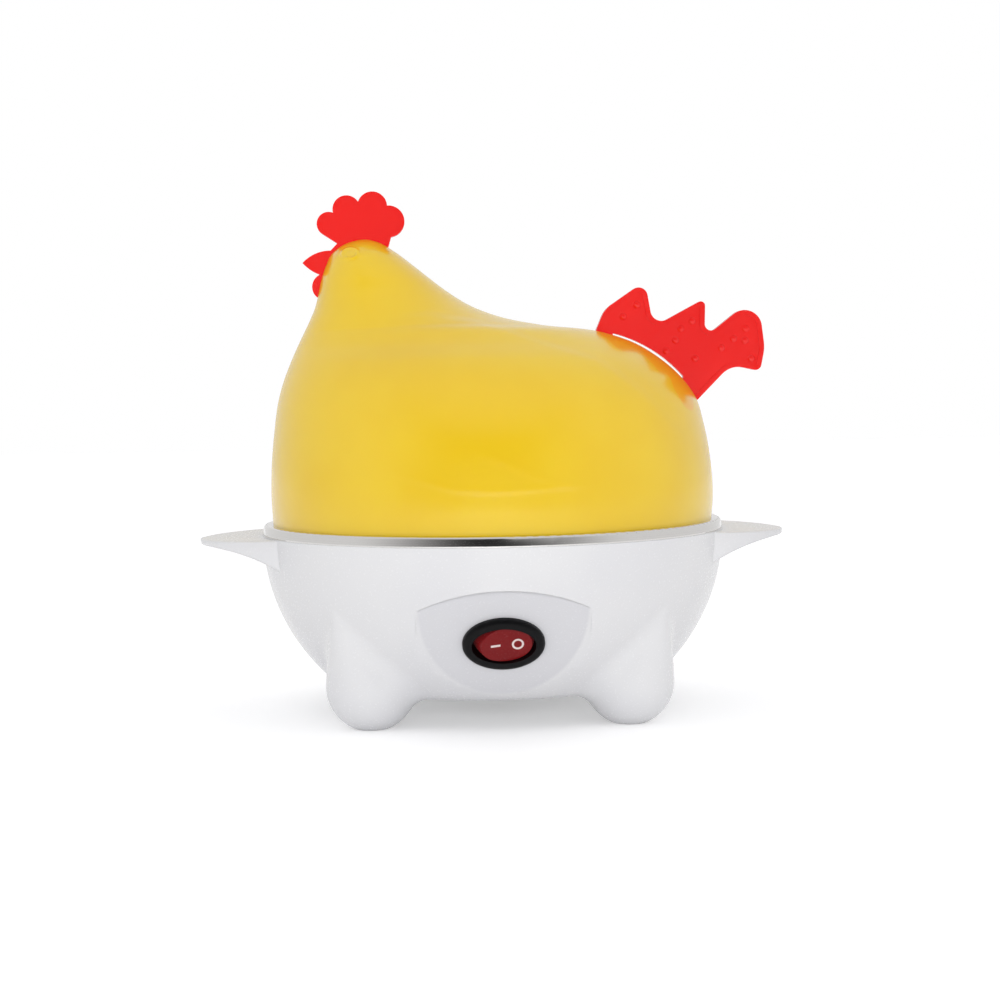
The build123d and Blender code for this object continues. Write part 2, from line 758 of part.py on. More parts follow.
# Switch tabs with their flag receptacles
for number, side in enumerate((-1, 1), start=1):
    across = side * switch_tab_pitch / 2
    with BuildPart() as switch_tab:
        with BuildSketch(panel.offset(-switch_body_depth)):
            with Locations((across, 0)):
                Rectangle(switch_tab_width, tab_thickness)
        extrude(amount=-switch_tab_length)
    switch_tab.part.label = f"switch_tab_{number}"
    export_step(switch_tab.part, f"parts/switch_tab_{number}.step")
    with BuildPart() as switch_flag:
        with BuildSketch(panel.offset(-switch_body_depth - loose_fit)):
            with Locations((across, 0)):
                RectangleRounded(flag_width, flag_size, flag_size / 5)
        extrude(amount=-receptacle_length)
        add(switch_tab.part, mode=Mode.SUBTRACT)
    switch_flag.part.label = f"switch_flag_{number}"
    export_step(switch_flag.part, f"parts/switch_flag_{number}.step")

# Gland at the back: collar inside, neck in the boss, rounded flange outside, bore for the cord
gland_axis = Axis((0, 0, gland_height), (0, 1, 0))
with BuildPart() as cord_gland:
    with BuildSketch(Plane(origin=(0, 0, gland_height), x_dir=(0, 1, 0), z_dir=(1, 0, 0))):
        with BuildLine():
            flange_end = gland_face + gland_flange_thickness
            Polyline(
                (collar_face - gland_collar_thickness, cord_radius + close_fit),
                (collar_face - gland_collar_thickness, gland_collar_radius),
                (collar_face, gland_collar_radius),
                (collar_face, gland_neck_radius),
                (gland_face, gland_neck_radius),
                (gland_face, gland_flange_radius),
                (flange_end, gland_flange_radius),
                (flange_end, cord_radius + close_fit),
                close=True,
            )
        make_face()
    revolve(axis=gland_axis)
    fillet(cord_gland.faces().sort_by(Axis.Y)[-1].outer_wire().edges(), radius=gland_flange_rounding)
cord_gland.part.label = "cord_gland"
export_step(cord_gland.part, "parts/cord_gland.step")

with BuildPart() as cord_clamp:
    with BuildSketch(Plane.XY.offset(gland_height + loose_fit)):
        with Locations((0, clamp_place)):
            RectangleRounded(clamp_width, clamp_depth, clamp_depth / 5)
            with GridLocations(clamp_screw_spacing, 0, 2, 1):
                Circle(screw_radius + close_fit, mode=Mode.SUBTRACT)
    extrude(amount=clamp_thickness)
    with BuildSketch(Plane.XZ.offset(-clamp_place)):
        with Locations((0, gland_height)):
            Circle(cord_radius)
    extrude(amount=clamp_depth, both=True, mode=Mode.SUBTRACT)
cord_clamp.part.label = "cord_clamp"
export_step(cord_clamp.part, "parts/cord_clamp.step")

for number, side in enumerate((-1, 1), start=1):
    clamp_seat = Plane.XY.move(
        Location((side * clamp_screw_spacing / 2, clamp_place, gland_height + loose_fit + clamp_thickness))
    )
    clamp_screw = make_screw(clamp_seat, screw_length)
    clamp_screw.part.label = f"clamp_screw_{number}"
    export_step(clamp_screw.part, f"parts/clamp_screw_{number}.step")

# Terminal block where the cord's two cores end, with its two screws
block_front = block_place - block_depth / 2
with BuildPart() as terminal_block:
    with BuildSketch(Plane.XY.offset(floor_top)):
        with Locations((0, block_place)):
            Rectangle(block_width, block_depth)
    extrude(amount=block_height)
    fillet(terminal_block.edges().filter_by(Axis.Z), radius=block_depth / 8)
    with BuildSketch(Plane.XZ.offset(-block_place - block_depth / 2)):
        with Locations((0, floor_top + block_height / 2)):
            with GridLocations(block_pole_pitch, 0, 2, 1):
                Circle(block_bore_radius)
    extrude(amount=block_depth / 2, mode=Mode.SUBTRACT)
terminal_block.part.label = "terminal_block"
export_step(terminal_block.part, "parts/terminal_block.step")

for number, side in enumerate((-1, 1), start=1):
    with BuildPart() as block_screw:
        with BuildSketch(Plane.XY.offset(floor_top + block_height)):
            with Locations((side * block_pole_pitch / 2, block_place)):
                Circle(block_screw_radius)
        extrude(amount=block_screw_height)
        with BuildSketch(Plane.XY.offset(floor_top + block_height + block_screw_height)):
            with Locations((side * block_pole_pitch / 2, block_place)):
                Rectangle(2 * block_screw_radius, block_screw_height)
        extrude(amount=-block_screw_height / 2, mode=Mode.SUBTRACT)
    block_screw.part.label = f"block_screw_{number}"
    export_step(block_screw.part, f"parts/block_screw_{number}.step")

# Straight receptacles on the heater pins and the thermostat tabs
pin_bottom = ring_bottom - heater_pin_length
thermostat_tab_bottom = plate_bottom - thermostat_height - switch_tab_length
receptacle_overlap = 2 * receptacle_length / 3
receptacle_ends = []
for number, (place, bottom, terminal) in enumerate(
    [
        (pin_places[0], pin_bottom, "heater"),
        (pin_places[1], pin_bottom, "heater"),
        ((thermostat_x - thermostat_tab_pitch / 2, thermostat_y), thermostat_tab_bottom, "thermostat"),
        ((thermostat_x + thermostat_tab_pitch / 2, thermostat_y), thermostat_tab_bottom, "thermostat"),
    ],
    start=1,
):
    top = bottom + receptacle_overlap
    receptacle_ends.append(Vector(place[0], place[1], top - receptacle_length))
    with BuildPart() as receptacle:
        with BuildSketch(Plane.XY.offset(top)):
            with Locations(place):
                Circle(receptacle_radius)
        extrude(amount=-receptacle_length)
        with BuildSketch(Plane.XY.offset(top)):
            with Locations(place):
                if terminal == "heater":
                    Circle(heater_pin_radius)
                else:
                    Rectangle(thermostat_tab_width, tab_thickness)
        extrude(amount=-receptacle_overlap, mode=Mode.SUBTRACT)
    receptacle.part.label = f"receptacle_{number}"
    export_step(receptacle.part, f"parts/receptacle_{number}.step")


# A wire along straight runs, with every corner rounded
def make_wire(points):
    with BuildPart() as wire:
        with BuildLine() as route:
            FilletPolyline(*points, radius=wire_bend)
        with BuildSketch(Plane(origin=route.line @ 0, z_dir=route.line % 0)):
            Circle(wire_radius)
        sweep(path=route.line)
    return wire


pole_offset = block_pole_pitch / 2
pole_height = floor_top + block_height / 2
fuse_left = Vector(fuse_x - fuse_length / 2, fuse_y, sleeve_axis_height)
fuse_right = Vector(fuse_x + fuse_length / 2, fuse_y, sleeve_axis_height)
sleeve_exit = sleeve_length / 2 + 2 * wire_bend
wire_drop = Vector(0, 0, -wire_dip)
flag_middle = switch_body_depth + loose_fit + receptacle_length / 2
flag_exits = []
for side in (-1, 1):
    across = side * switch_tab_pitch / 2
    flag_exits.append(
        (
            panel_point(across, -flag_size / 2, flag_middle),
            panel_point(across, -flag_size / 2 - 2 * wire_bend, flag_middle),
        )
    )
wire_routes = {
    "wire_live": [
        Vector(pole_offset, block_front, pole_height),
        Vector(pole_offset, block_front - 2 * wire_bend, pole_height),
        Vector(wire_lane, block_front - 3 * wire_bend, wire_level),
        Vector(wire_lane, fuse_y - 2 * wire_bend, wire_level),
        flag_exits[1][1],
        flag_exits[1][0],
    ],
    "wire_neutral": [
        Vector(-pole_offset, block_front, pole_height),
        Vector(-pole_offset, block_front - wire_bend, pole_height),
        Vector(-pole_offset, block_front - neutral_run, neutral_level),
        Vector(receptacle_ends[2].X, receptacle_ends[2].Y, neutral_level),
        receptacle_ends[2],
    ],
    "wire_thermostat": [
        receptacle_ends[1],
        receptacle_ends[1] + wire_drop,
        receptacle_ends[3] + wire_drop,
        receptacle_ends[3],
    ],
    "wire_fuse": [
        fuse_left,
        Vector(fuse_x - sleeve_exit, fuse_y, sleeve_axis_height),
        Vector(fuse_x - sleeve_exit, fuse_y, wire_level),
        receptacle_ends[0] + wire_drop,
        receptacle_ends[0],
    ],
    "wire_switched": [
        fuse_right,
        Vector(fuse_x + sleeve_exit, fuse_y, sleeve_axis_height),
        Vector(fuse_x + sleeve_exit - wire_bend, fuse_y - wire_bend, bridge_height),
        flag_exits[0][1],
        flag_exits[0][0],
    ],
}
for name, points in wire_routes.items():
    wire = make_wire(points)
    wire.part.label = name
    export_step(wire.part, f"parts/{name}.step")

# Egg tray: deck with egg holes, short legs on the dish floor and two lifting lugs
with BuildPart() as egg_tray:
    with BuildSketch(Plane.XY.offset(tray_deck_height)):
        Circle(tray_radius)
        with PolarLocations(egg_pitch_radius, egg_count):
            Circle(egg_hole_radius, mode=Mode.SUBTRACT)
    extrude(amount=tray_thickness)
    hole_edges = egg_tray.faces().sort_by(Axis.Z)[-1].inner_wires()
    chamfer([edge for wire in hole_edges for edge in wire.edges()], length=egg_hole_chamfer)
    with BuildSketch(Plane.XY.offset(tray_deck_height)):
        with PolarLocations(tray_leg_pitch, egg_count, start_angle=180 / egg_count):
            Circle(tray_leg_radius)
    extrude(amount=-tray_leg_length)
    for side in (-1, 1):
        with BuildSketch(Plane.XZ.offset(-side * lug_place)):
            with Locations((0, tray_deck_height + tray_thickness)):
                Rectangle(lug_width, lug_height - lug_width / 2, align=(Align.CENTER, Align.MIN))
            with Locations((0, tray_deck_height + tray_thickness + lug_height - lug_width / 2)):
                Circle(lug_width / 2)
                Circle(lug_hole_radius, mode=Mode.SUBTRACT)
        extrude(amount=lug_thickness / 2, both=True)
egg_tray.part.label = "egg_tray"
export_step(egg_tray.part, "parts/egg_tray.step")


# Height of the back's ridge above the lid's seat, between the sections
def ridge_height_at(place):
    for (low, _, low_back, _), (high, _, high_back, _) in zip(lid_sections[1:], lid_sections[2:]):
        if low_back >= place >= high_back:
            return low + (high - low) * (low_back - place) / (low_back - high_back)


# The plates' planes: one starts at the eyes, the other where the tail's root leaves the back
head_x = head_middle * lid_plan
head_z = dish_rim_height + head_height
comb_plane = Plane(origin=(head_x, 0, head_z), x_dir=(1, 0, 0), z_dir=(0, -1, 0))
tail_root_height = ridge_height_at(tail_root_middle) - tail_root_depth
tail_plane = Plane(
    origin=(tail_root_middle * lid_plan, 0, dish_rim_height + tail_root_height),
    x_dir=(1, 0, 0),
    z_dir=(0, -1, 0),
)


# Comb, beak and wattle as one outline, its root inside the head; gap widens it for the slot
def comb_outline(gap):
    with BuildSketch(comb_plane) as outline:
        with BuildLine():
            ThreePointArc((13.6, 6.3), (18.4, 12.9), (12.4, 17.5))
            ThreePointArc((12.4, 17.5), (7.8, 22.5), (2.1, 19.0))
            ThreePointArc((2.1, 19.0), (-3.4, 21.1), (-6.9, 15.2))
            ThreePointArc((-6.9, 15.2), (-12.5, 12.7), (-10.8, 7.7))
            Polyline((-10.8, 7.7), (-5.6, 4.3), (-8.0, 1.8))
            ThreePointArc((-8.0, 1.8), (-13.6, 0.7), (-18.1, -2.5))
            ThreePointArc((-18.1, -2.5), (-14.8, -5.3), (-12.0, -6.7))
            ThreePointArc((-12.0, -6.7), (-14.8, -10.5), (-13.2, -14.7))
            Polyline((-13.2, -14.7), (-7.8, -13.0), (-4.8, -5.5), (0.2, -2.5), (11.2, -2.0))
            Line((11.2, -2.0), (13.6, 6.3))
        make_face()
        if gap:
            offset(amount=gap)
    return outline.sketch


# Tail of three feathers, its root inside the back
def tail_outline(gap):
    with BuildSketch(tail_plane) as outline:
        with BuildLine():
            FilletPolyline(
                (-21.6, 15.4),
                (-18.6, 22.6),
                (-3.8, 32.6),
                (-1.0, 16.1),
                (17.9, 26.1),
                (17.5, 12.0),
                (37.0, 27.2),
                (39.3, 8.0),
                (37.6, -0.4),
                (27.0, 2.0),
                (14.9, -10.2),
                (9.0, -13.8),
                (0.9, -5.0),
                (-4.0, 0.0),
                (-8.6, 6.4),
                (-15.8, 7.1),
                (-21.4, 11.0),
                radius=[1, 10, 3.3, 4, 1.6, 2.3, 6.3, 14, 2.2, 8, 1, 2, 4, 2, 3, 3, 1],
                close=True,
            )
        make_face()
        if gap:
            offset(amount=gap)
    return outline.sketch


# Yellow lid: a lofted hen body, hollowed by the same sections moved in and down by the wall
def make_body(inset):
    with BuildPart() as body:
        for height, breast, back, half_width in lid_sections:
            with BuildSketch(Plane.XY.offset(dish_rim_height + height - inset)):
                with Locations((lid_plan * (breast + back) / 2, 0)):
                    Ellipse(lid_plan * (back - breast) / 2 - inset, lid_plan * half_width - inset)
        loft()
    return body.part


with BuildPart() as lid_shell:
    add(make_body(0))
    for side in (-1, 1):
        with BuildSketch(Plane.XZ.offset(-side * (eye_face * lid_plan - 2 * lid_wall))):
            with Locations((head_x, head_z)):
                Ellipse(eye_length / 2, eye_height / 2)
        extrude(amount=-side * 2 * lid_wall)
    add(make_body(lid_wall), mode=Mode.SUBTRACT)
    with BuildSketch(Plane.XY.offset(dish_rim_height)):
        Circle(lid_radius - lid_wall / 2)
        Circle(lid_lip_radius - lid_lip_wall, mode=Mode.SUBTRACT)
    extrude(amount=lid_flange_thickness)
    with BuildSketch(Plane.XY.offset(dish_rim_height)):
        Circle(lid_lip_radius)
        Circle(lid_lip_radius - lid_lip_wall, mode=Mode.SUBTRACT)
    extrude(amount=-lid_lip_depth)
    extrude(comb_outline(close_fit), amount=comb_thickness / 2 + close_fit, both=True, mode=Mode.SUBTRACT)
    extrude(tail_outline(close_fit), amount=tail_thickness / 2 + close_fit, both=True, mode=Mode.SUBTRACT)
lid_shell.part.label = "lid_shell"
export_step(lid_shell.part, "parts/lid_shell.step")

with BuildPart() as comb_plate:
    extrude(comb_outline(0), amount=comb_thickness / 2, both=True)
comb_plate.part.label = "comb_plate"
export_step(comb_plate.part, "parts/comb_plate.step")

with BuildPart() as tail_plate:
    extrude(tail_outline(0), amount=tail_thickness / 2, both=True)
    for side in (-1, 1):
        with BuildSketch(Plane.XZ.offset(side * (tail_thickness / 2 - tail_border_height))):
            add(tail_outline(-tail_border_width))
        extrude(amount=side * tail_border_height, mode=Mode.SUBTRACT)
    with BuildSketch(tail_plane):
        with BuildLine(mode=Mode.PRIVATE):
            slit = ThreePointArc((-15.2, 13.4), (-1.4, 7.2), (9.2, -2.0))
        SlotArc(slit, tail_slit_width)
    extrude(amount=tail_thickness, both=True, mode=Mode.SUBTRACT)
tail_plate.part.label = "tail_plate"
export_step(tail_plate.part, "parts/tail_plate.step")
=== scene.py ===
import json
from math import cos, radians, sin

import bpy
import numpy as np
from mathutils import Matrix, Vector


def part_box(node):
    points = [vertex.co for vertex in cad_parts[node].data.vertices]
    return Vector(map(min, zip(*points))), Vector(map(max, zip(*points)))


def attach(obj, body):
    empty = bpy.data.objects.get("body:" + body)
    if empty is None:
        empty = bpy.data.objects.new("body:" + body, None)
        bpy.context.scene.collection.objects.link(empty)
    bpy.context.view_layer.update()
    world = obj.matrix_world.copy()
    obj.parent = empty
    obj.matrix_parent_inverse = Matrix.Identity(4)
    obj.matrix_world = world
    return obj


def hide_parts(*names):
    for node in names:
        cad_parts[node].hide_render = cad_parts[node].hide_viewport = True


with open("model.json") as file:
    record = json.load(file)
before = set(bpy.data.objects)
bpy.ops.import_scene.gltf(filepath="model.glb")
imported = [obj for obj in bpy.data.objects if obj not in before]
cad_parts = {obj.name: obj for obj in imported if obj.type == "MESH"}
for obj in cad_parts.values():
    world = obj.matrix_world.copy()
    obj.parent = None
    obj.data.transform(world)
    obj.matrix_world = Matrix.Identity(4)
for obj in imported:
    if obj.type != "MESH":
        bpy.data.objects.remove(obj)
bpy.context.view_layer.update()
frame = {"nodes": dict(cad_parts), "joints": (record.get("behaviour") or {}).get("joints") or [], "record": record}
nodes = frame["nodes"]
mm = 0.001


# Small helpers for colours, nodes and meshes

def tint(red, green, blue):  # a screen colour, 0 to 255, as linear light
    share = np.array([red, green, blue]) / 255
    linear = np.where(share <= 0.04045, share / 12.92, ((share + 0.055) / 1.055) ** 2.4)
    return (*map(float, linear), 1.0)


def addNode(tree, kind, **settings):
    node = tree.nodes.new(kind)
    for name, value in settings.items():
        setattr(node, name, value)
    return node


def setInputs(node, **values):  # sockets by name, with _ for a space
    for name, value in values.items():
        node.inputs[name.replace("_", " ")].default_value = value
    return node


def mathNode(tree, operation, first, second=None):
    node = addNode(tree, "ShaderNodeMath", operation=operation)
    for socket, value in zip(node.inputs, (first, second)):
        if isinstance(value, bpy.types.NodeSocket):
            tree.links.new(value, socket)
        elif value is not None:
            socket.default_value = value
    return node.outputs[0]


def rangeNode(tree, value, low, high, outLow, outHigh, smooth=True):
    node = addNode(tree, "ShaderNodeMapRange", interpolation_type="SMOOTHSTEP" if smooth else "LINEAR")
    setInputs(node, From_Min=low, From_Max=high, To_Min=outLow, To_Max=outHigh)
    tree.links.new(value, node.inputs["Value"])
    return node.outputs["Result"]


def mixColours(tree, mask, first, second):
    node = addNode(tree, "ShaderNodeMix", data_type="RGBA")
    tree.links.new(mask, node.inputs["Factor"])
    for socket, value in ((node.inputs[6], first), (node.inputs[7], second)):
        if isinstance(value, bpy.types.NodeSocket):
            tree.links.new(value, socket)
        else:
            socket.default_value = value
    return node.outputs[2]


def newGroup(name, inputs, outputs):
    group = bpy.data.node_groups.new(name, "ShaderNodeTree")
    for label, value in inputs.items():
        socket = group.interface.new_socket(label, in_out="INPUT", socket_type="NodeSocketFloat")
        socket.default_value = value
    for label in outputs:
        group.interface.new_socket(label, in_out="OUTPUT", socket_type="NodeSocketFloat")
    return group, group.nodes.new("NodeGroupInput"), group.nodes.new("NodeGroupOutput")


def useGroup(tree, group, **values):
    node = addNode(tree, "ShaderNodeGroup", node_tree=group)
    return setInputs(node, **values)


def newMaterial(name):
    material = bpy.data.materials.new(name)
    material.use_nodes = True
    tree = material.node_tree
    return material, tree, tree.nodes["Principled BSDF"]


def addPiece(name, points, faces, material, sharpAngle=40):
    mesh = bpy.data.meshes.new(name)
    mesh.from_pydata(points, [], faces)
    mesh.validate()
    mesh.materials.append(material)
    mesh.shade_smooth()
    mesh.set_sharp_from_angle(angle=radians(sharpAngle))
    piece = bpy.data.objects.new(name, mesh)
    bpy.context.scene.collection.objects.link(piece)
    return piece


def dress(piece, body, slot, *replaced):
    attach(piece, body)
    if replaced:
        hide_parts(*replaced)
    return piece


def roundEdges(piece, width, segments=3, angle=40):
    edge = piece.modifiers.new("roundEdges", "BEVEL")
    edge.width = width
    edge.segments = segments
    edge.limit_method = "ANGLE"
    edge.angle_limit = radians(angle)


# A CAD node's loose triangles, welded where corners coincide, so that they shade as one surface
def weldedNode(nodeName):
    mesh = nodes[nodeName].data
    corners = np.empty(len(mesh.vertices) * 3)
    mesh.vertices.foreach_get("co", corners)
    mesh.calc_loop_triangles()
    triangles = np.empty(len(mesh.loop_triangles) * 3, int)
    mesh.loop_triangles.foreach_get("vertices", triangles)
    unique, place = np.unique(corners.reshape(-1, 3).round(decimals=6), axis=0, return_inverse=True)
    triangles = place.reshape(-1)[triangles].reshape(-1, 3)
    whole = (triangles != np.roll(triangles, 1, axis=1)).all(axis=1)
    return unique.tolist(), triangles[whole].tolist()


def smoothCopy(nodeName, pieceName, body, slot, material, sharpAngle=35):
    piece = addPiece(pieceName, *weldedNode(nodeName), material, sharpAngle)
    return dress(piece, body, slot, nodeName)


# Shared surface effects

# Clouding and fine grain of a moulded plastic skin
def makeMouldedSkin():
    group, inlet, outlet = newGroup(
        "mouldedSkin", {"Cloud Scale": 25.0, "Grain Scale": 1500.0}, ("Cloud", "Grain")
    )
    place = addNode(group, "ShaderNodeTexCoord")
    for label, detail in (("Cloud", 2.0), ("Grain", 1.0)):
        noise = setInputs(addNode(group, "ShaderNodeTexNoise"), Detail=detail)
        group.links.new(place.outputs["Object"], noise.inputs["Vector"])
        group.links.new(inlet.outputs[f"{label} Scale"], noise.inputs["Scale"])
        group.links.new(noise.outputs["Fac"], outlet.inputs[label])
    return group


# Fine lines that run round the upright axis, as on a spun sheet: noise over radius and height
def makeSpunLines():
    group, inlet, outlet = newGroup("spunLines", {"Line Scale": 2600.0}, ("Lines",))
    place = addNode(group, "ShaderNodeTexCoord")
    split = addNode(group, "ShaderNodeSeparateXYZ")
    group.links.new(place.outputs["Object"], split.inputs[0])
    squareX = mathNode(group, "MULTIPLY", split.outputs["X"], split.outputs["X"])
    squareY = mathNode(group, "MULTIPLY", split.outputs["Y"], split.outputs["Y"])
    radius = mathNode(group, "SQRT", mathNode(group, "ADD", squareX, squareY))
    along = addNode(group, "ShaderNodeCombineXYZ")
    group.links.new(radius, along.inputs["X"])
    group.links.new(split.outputs["Z"], along.inputs["Y"])
    noise = setInputs(addNode(group, "ShaderNodeTexNoise"), Detail=2.0)
    group.links.new(along.outputs[0], noise.inputs["Vector"])
    group.links.new(inlet.outputs["Line Scale"], noise.inputs["Scale"])
    group.links.new(noise.outputs["Fac"], outlet.inputs["Lines"])
    return group


mouldedSkin = makeMouldedSkin()
spunLines = makeSpunLines()
print("effects: moulded skin, spun lines")


# Materials. Each finish names the noise levels that count, how far the roughness strays from its
# middle, and the depth of the relief in metres.

skinFinish = {"clouds": (0.35, 0.65), "levels": (0.3, 0.7), "stray": (-0.03, 0.04), "depth": 0.0002}
spunFinish = {"levels": (0.3, 0.7), "stray": (-0.05, 0.06), "depth": 0.0001}


def addFinish(tree, surface, noise, finish, rough, grain):
    least, most = (rough + stray for stray in finish["stray"])
    shine = rangeNode(tree, noise, *finish["levels"], least, most, smooth=False)
    tree.links.new(shine, surface.inputs["Roughness"])
    bump = setInputs(addNode(tree, "ShaderNodeBump"), Strength=grain, Distance=finish["depth"])
    tree.links.new(noise, bump.inputs["Height"])
    tree.links.new(bump.outputs["Normal"], surface.inputs["Normal"])
    return bump


def plastic(name, dark, light, rough, grain, **sockets):
    material, tree, surface = newMaterial(name)
    skin = useGroup(tree, mouldedSkin)
    clouds = rangeNode(tree, skin.outputs["Cloud"], *skinFinish["clouds"], 0, 1)
    tree.links.new(mixColours(tree, clouds, dark, light), surface.inputs["Base Color"])
    bump = addFinish(tree, surface, skin.outputs["Grain"], skinFinish, rough, grain)
    setInputs(surface, **sockets)
    return material, tree, surface, bump


def metal(name, dark, light, rough, grain, **groupInputs):
    material, tree, surface = newMaterial(name)
    lines = useGroup(tree, spunLines, **groupInputs).outputs["Lines"]
    tree.links.new(mixColours(tree, lines, dark, light), surface.inputs["Base Color"])
    addFinish(tree, surface, lines, spunFinish, rough, grain)
    setInputs(surface, Metallic=1.0)
    return material


whiteGloss, whiteTree, whiteSurface, whiteBump = plastic(
    "whiteGloss", tint(227, 227, 230), tint(231, 231, 233), 0.24, 0.004,
    Coat_Weight=0.1, Coat_Roughness=0.08,
)
softEdge = setInputs(addNode(whiteTree, "ShaderNodeBevel", samples=4), Radius=0.0007)
whiteTree.links.new(softEdge.outputs["Normal"], whiteBump.inputs["Normal"])


# The switch's hinge and its directions across the panel, up it and out of it

hinge = next(joint for joint in frame["joints"] if joint["name"] == "rocker_tilt")
hingePoint = np.array(hinge["pos_m"])
panelAside, panelUp = np.array([1.0, 0, 0]), -np.array(hinge["axis"])
panelOut = np.cross(panelAside, panelUp)

panelShade = {  # millimetres: the sunk panel's plane over the hinge, how near counts, half width, heights; the tint is painted shade
    "overHinge": 4.5, "near": (0.25, 0.5), "halfWidth": 28.6, "shoulder": 42.4, "crown": 50.9, "drop": 30.0,
    "topFade": (0.0, 0.5), "sideFade": (0.9, 1.0), "tint": tint(218, 218, 222),
}


# Painted shade on the sunk panel's floor, a darker and cooler grey standing in for the shade in the recess:
# points within a hair of its plane, below its top at shoulder + (crown - shoulder) * (1 - (x / half width)^2),
# and inside (x / half width)^2 + (depth under the shoulder / drop)^2 = 1
def paintPanelShade(tree, surface):
    place = addNode(tree, "ShaderNodeTexCoord")
    reach = addNode(tree, "ShaderNodeVectorMath", operation="DOT_PRODUCT")
    tree.links.new(place.outputs["Object"], reach.inputs[0])
    reach.inputs[1].default_value = panelOut
    split = addNode(tree, "ShaderNodeSeparateXYZ")
    tree.links.new(place.outputs["Object"], split.inputs[0])
    level = float(hingePoint @ panelOut) + panelShade["overHinge"] * mm
    apart = mathNode(tree, "ABSOLUTE", mathNode(tree, "SUBTRACT", reach.outputs["Value"], level))
    onPlane = rangeNode(tree, apart, *(edge * mm for edge in panelShade["near"]), 1, 0)
    side = mathNode(tree, "DIVIDE", split.outputs["X"], panelShade["halfWidth"] * mm)
    sideSquare = mathNode(tree, "MULTIPLY", side, side)
    droop = mathNode(tree, "MULTIPLY", sideSquare, (panelShade["crown"] - panelShade["shoulder"]) * mm)
    raised = mathNode(tree, "ADD", split.outputs["Z"], droop)
    above = mathNode(tree, "SUBTRACT", raised, panelShade["crown"] * mm)
    below = rangeNode(tree, above, *(edge * mm for edge in panelShade["topFade"]), 1, 0)
    under = mathNode(tree, "SUBTRACT", panelShade["shoulder"] * mm, split.outputs["Z"])
    under = mathNode(tree, "DIVIDE", mathNode(tree, "MAXIMUM", under, 0.0), panelShade["drop"] * mm)
    oval = mathNode(tree, "ADD", sideSquare, mathNode(tree, "MULTIPLY", under, under))
    inside = rangeNode(tree, oval, *panelShade["sideFade"], 1, 0)
    mask = mathNode(tree, "MULTIPLY", mathNode(tree, "MULTIPLY", onPlane, inside), below)
    plain = surface.inputs["Base Color"].links[0].from_socket
    # The painted shade grey is mixed over the plain white here
    tree.links.new(mixColours(tree, mask, plain, panelShade["tint"]), surface.inputs["Base Color"])


paintPanelShade(whiteTree, whiteSurface)

traySatin = plastic("traySatin", tint(226, 228, 226), tint(233, 234, 232), 0.42, 0.06)[0]
coverSatin = plastic("coverSatin", tint(226, 227, 229), tint(232, 233, 234), 0.40, 0.08)[0]
plateRed = plastic(
    "plateRed", tint(238, 17, 13), tint(244, 23, 18), 0.22, 0.03,
    Coat_Weight=0.2, Coat_Roughness=0.1,
)[0]
bezelBlack = plastic(
    "bezelBlack", tint(5, 5, 7), tint(8, 8, 10), 0.38, 0.05, Specular_IOR_Level=0.17,
)[0]
markWhite = plastic("markWhite", tint(232, 214, 212), tint(240, 226, 224), 0.45, 0.02)[0]
glandGrey = plastic("glandGrey", tint(206, 207, 208), tint(214, 214, 214), 0.62, 0.12)[0]
nylonCream = plastic("nylonCream", tint(226, 222, 206), tint(234, 230, 216), 0.48, 0.05)[0]
wireBrown = plastic("wireBrown", tint(84, 50, 28), tint(98, 60, 36), 0.45, 0.04)[0]
wireBlue = plastic("wireBlue", tint(36, 78, 150), tint(46, 92, 168), 0.45, 0.04)[0]
spunSteel = metal("spunSteel", tint(206, 204, 202), tint(228, 226, 224), 0.13, 0.08)
zincPlated = metal("zincPlated", tint(176, 178, 180), tint(196, 197, 198), 0.34, 0.10)
castAlloy = metal("castAlloy", tint(186, 187, 189), tint(206, 207, 208), 0.48, 0.25, Line_Scale=700.0)
platedBrass = metal("platedBrass", tint(196, 162, 88), tint(214, 182, 108), 0.30, 0.08)
lampGlass = plastic(
    "lampGlass", tint(240, 214, 190), tint(246, 226, 206), 0.08, 0.01, Transmission_Weight=0.6,
)[0]
# Ruby plastic with a faint red emission: painted glow, no lamp, that lifts the shaded sides of the rocker in its
# window
rockerRubyGlow = plastic(
    "rockerRubyGlow", tint(114, 7, 10), tint(130, 11, 14), 0.24, 0.02,
    Subsurface_Weight=0.25, Subsurface_Scale=0.002, Specular_IOR_Level=0.17,
    Emission_Color=(1.0, 0.22, 0.25, 1.0), Emission_Strength=0.026,
)[0]


# The lid's yellow, warmer where a red plate's root shows through near the ridge.
# A curve over x gives the root's lower edge; above it the root shows, most where the wall is seen
# at a slant, because the root is a thin plate in the middle and hides behind its own edge end on.
rootGlow = {  # lengths in millimetres
    "tail": {"span": (36.0, 76.0), "rise": (100.0, 140.0), "edge": [
        (38.0, 133.2), (44.2, 126.6), (51.4, 125.8), (55.5, 121.4), (57.4, 118.9), (61.0, 117.4),
        (62.0, 113.0), (68.9, 105.7), (70.6, 110.2), (75.0, 112.0)]},
    "comb": {"span": (-62.0, -32.0), "rise": (140.0, 172.0), "edge": [
        (-61.0, 151.6), (-57.7, 155.1), (-54.8, 159.8), (-52.8, 162.7), (-46.7, 164.6), (-43.8, 165.3),
        (-40.1, 164.5), (-35.4, 162.6), (-33.0, 165.8)]},
    "softness": 0.7, "endFade": (1.5, 2.5), "tailStrength": 0.47, "combStrength": 0.22,
    "crestStrength": 0.75, "crestReach": (1.0, 3.2),
    "grazing": (0.3, 0.62), "faceOn": 0.15, "tint": tint(246, 158, 24),
}


